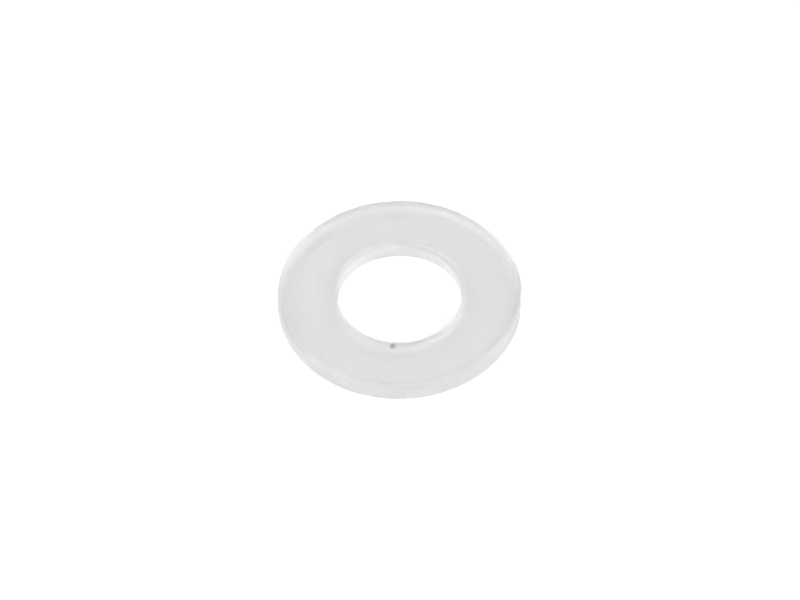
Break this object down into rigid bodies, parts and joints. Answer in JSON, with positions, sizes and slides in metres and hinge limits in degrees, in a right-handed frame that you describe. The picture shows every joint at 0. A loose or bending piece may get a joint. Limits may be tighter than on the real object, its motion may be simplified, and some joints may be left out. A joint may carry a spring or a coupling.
{
  "type": "flat washer",
  "caption": "Plain flat washer of translucent natural nylon: a round ring with rounded edges and a central clearance hole for a screw.",
  "frame": {"origin": "on the bore axis, at the lower bearing face that the washer lies on", "axes": "+Z along the bore axis, out of the upper bearing face; +X through the rim about 11 degrees before the gate's remains, counted towards +Y"},
  "size_m": [0.0127, 0.0126, 0.0012],
  "materials": {
    "natural_nylon": "satin"
  },
  "bodies": {
    "root": {"flat_washer": "natural_nylon"}
  },
  "joints": []
}
